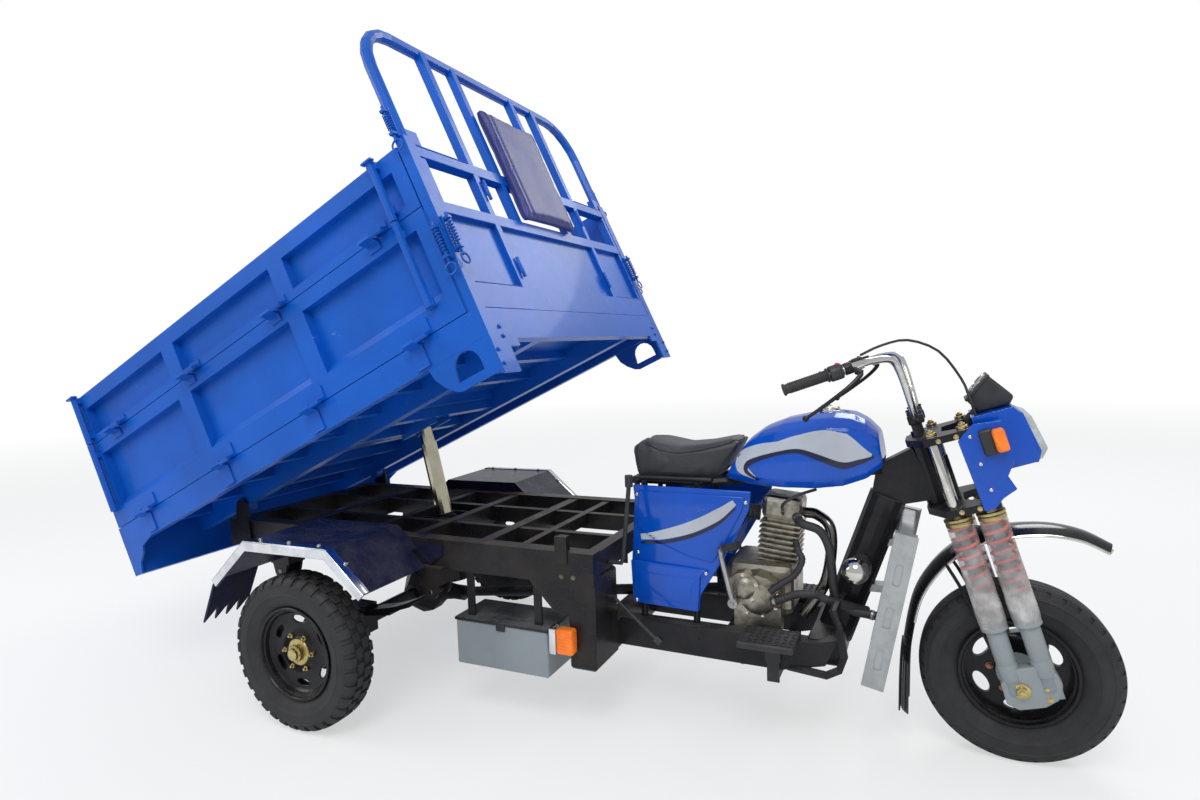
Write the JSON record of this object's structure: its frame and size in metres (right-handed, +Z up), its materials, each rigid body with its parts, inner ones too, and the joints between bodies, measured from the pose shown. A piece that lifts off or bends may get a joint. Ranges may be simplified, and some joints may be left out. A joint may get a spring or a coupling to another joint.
{
  "type": "dump motor tricycle",
  "caption": "Cargo motor tricycle with a tipping open load bed on a hoist, drop sides, tailgate, disc wheels and a motorcycle front end",
  "frame": {"origin": "on the ground, in the middle of the vehicle's overall length and width", "axes": "+X towards the front wheel, +Y to the vehicle's left, +Z up"},
  "size_m": [3.7667, 1.561, 2.3988],
  "materials": {
    "blue_paint": "gloss",
    "navy_paint": "satin",
    "black_paint": "satin",
    "guard_paint": "satin",
    "grey_paint": "satin",
    "orange_lens": "gloss",
    "clear_lens": "gloss",
    "chrome": "polished",
    "dark_steel": "satin",
    "engine_metal": "matte",
    "radiator_metal": "satin",
    "black_rim": "gloss",
    "tyre_rubber": "matte",
    "black_rubber": "matte",
    "black_plastic": "matte",
    "black_vinyl": "satin",
    "navy_vinyl": "satin",
    "spring_red": "matte"
  },
  "bodies": {
    "chassis": {"chassis_frame": "black_paint", "rear_axle": "black_paint", "mudguard_right": "guard_paint", "mudguard_left": "guard_paint", "tool_box": "grey_paint", "marker_lamp_right": "orange_lens", "marker_lamp_left": "orange_lens", "front_frame": "black_paint", "engine": "engine_metal", "exhaust": "dark_steel", "drive_shaft": "black_paint", "radiator": "radiator_metal", "seat": "black_vinyl", "fuel_tank": "blue_paint", "side_cover_right": "blue_paint", "side_cover_left": "blue_paint", "foot_board": "black_rubber", "gear_lever": "black_rubber", "hand_brake": "dark_steel"},
    "rear_wheel_right": {"tyre_rear_right": "tyre_rubber", "rim_rear_right": "black_rim"},
    "rear_wheel_left": {"tyre_rear_left": "tyre_rubber", "rim_rear_left": "black_rim"},
    "steering": {"fork_clamps": "black_paint", "fork_leg_right": "grey_paint", "fork_leg_left": "grey_paint", "spring_boot_right": "spring_red", "spring_boot_left": "spring_red", "handlebar": "black_rubber", "headlamp_housing": "blue_paint", "headlamp_lens": "clear_lens", "instrument": "black_plastic", "front_mudguard": "dark_steel", "throttle_cable": "black_rubber"},
    "front_wheel": {"tyre_front": "tyre_rubber", "rim_front": "black_rim"},
    "bed": {"bed_frame": "navy_paint", "headboard": "blue_paint", "backrest_pad": "navy_vinyl"},
    "side_lower_right": {"side_lower_right": "blue_paint"},
    "side_upper_right": {"side_upper_right": "blue_paint"},
    "side_lower_left": {"side_lower_left": "blue_paint"},
    "side_upper_left": {"side_upper_left": "blue_paint"},
    "tailgate": {"tailgate": "blue_paint"},
    "hoist_barrel": {"hoist_barrel": "black_paint"},
    "hoist_stage_1": {"hoist_stage_1": "chrome"},
    "hoist_stage_2": {"hoist_stage_2": "chrome"}
  },
  "joints": [
    {"name": "rear_right_spin", "type": "hinge", "parent": "chassis", "child": "rear_wheel_right", "pos_m": [-0.68461, -0.7, 0.2825], "axis": [0, 1, 0], "continuous": true},
    {"name": "rear_left_spin", "type": "hinge", "parent": "chassis", "child": "rear_wheel_left", "pos_m": [-0.68461, 0.7, 0.2825], "axis": [0, 1, 0], "continuous": true},
    {"name": "steering_turn", "type": "hinge", "parent": "chassis", "child": "steering", "pos_m": [1.35398, 0, 0.9], "axis": [-0.2924, 0, 0.9563], "range_deg": [-35, 35]},
    {"name": "front_spin", "type": "hinge", "parent": "steering", "child": "front_wheel", "pos_m": [1.60844, 0, 0.28251], "axis": [0, 1, 0], "continuous": true},
    {"name": "bed_tilt", "type": "hinge", "parent": "chassis", "child": "bed", "pos_m": [-1.29361, 0, 0.705], "axis": [0, -1, 0], "range_deg": [-24.38, 0]},
    {"name": "side_lower_right_drop", "type": "hinge", "parent": "bed", "child": "side_lower_right", "pos_m": [-0.75378, -0.7621, 1.05747], "axis": [0.9109, 0, 0.4127], "range_deg": [0, 95]},
    {"name": "side_upper_right_fold", "type": "hinge", "parent": "side_lower_right", "child": "side_upper_right", "pos_m": [-0.90228, -0.7621, 1.3852], "axis": [0.9109, 0, 0.4127], "range_deg": [0, 170]},
    {"name": "side_lower_left_drop", "type": "hinge", "parent": "bed", "child": "side_lower_left", "pos_m": [-0.75378, 0.7621, 1.05747], "axis": [-0.9109, 0, -0.4127], "range_deg": [0, 95]},
    {"name": "side_upper_left_fold", "type": "hinge", "parent": "side_lower_left", "child": "side_upper_left", "pos_m": [-0.90228, 0.7621, 1.3852], "axis": [-0.9109, 0, -0.4127], "range_deg": [0, 170]},
    {"name": "tailgate_drop", "type": "hinge", "parent": "bed", "child": "tailgate", "pos_m": [-1.65571, 0, 0.64442], "axis": [0, -1, 0], "range_deg": [0, 150]},
    {"name": "hoist_lean", "type": "hinge", "parent": "chassis", "child": "hoist_barrel", "pos_m": [-0.55961, 0, 0.59], "axis": [0, -1, 0], "range_deg": [-6.12, 0]},
    {"name": "hoist_slide_1", "type": "slide", "parent": "hoist_barrel", "child": "hoist_stage_1", "axis": [-0.2181, 0, 0.9759], "range_m": [-0.2262, 0]},
    {"name": "hoist_slide_2", "type": "slide", "parent": "hoist_stage_1", "child": "hoist_stage_2", "axis": [-0.2181, 0, 0.9759], "range_m": [-0.0752, 0]}
  ],
  "couplings": [
    {"joint": "hoist_lean", "follows": "bed_tilt", "ratio": 0.25},
    {"joint": "hoist_slide_1", "follows": "bed_tilt", "m_per_rad": 0.531},
    {"joint": "hoist_slide_2", "follows": "bed_tilt", "m_per_rad": 0.17629}
  ]
}
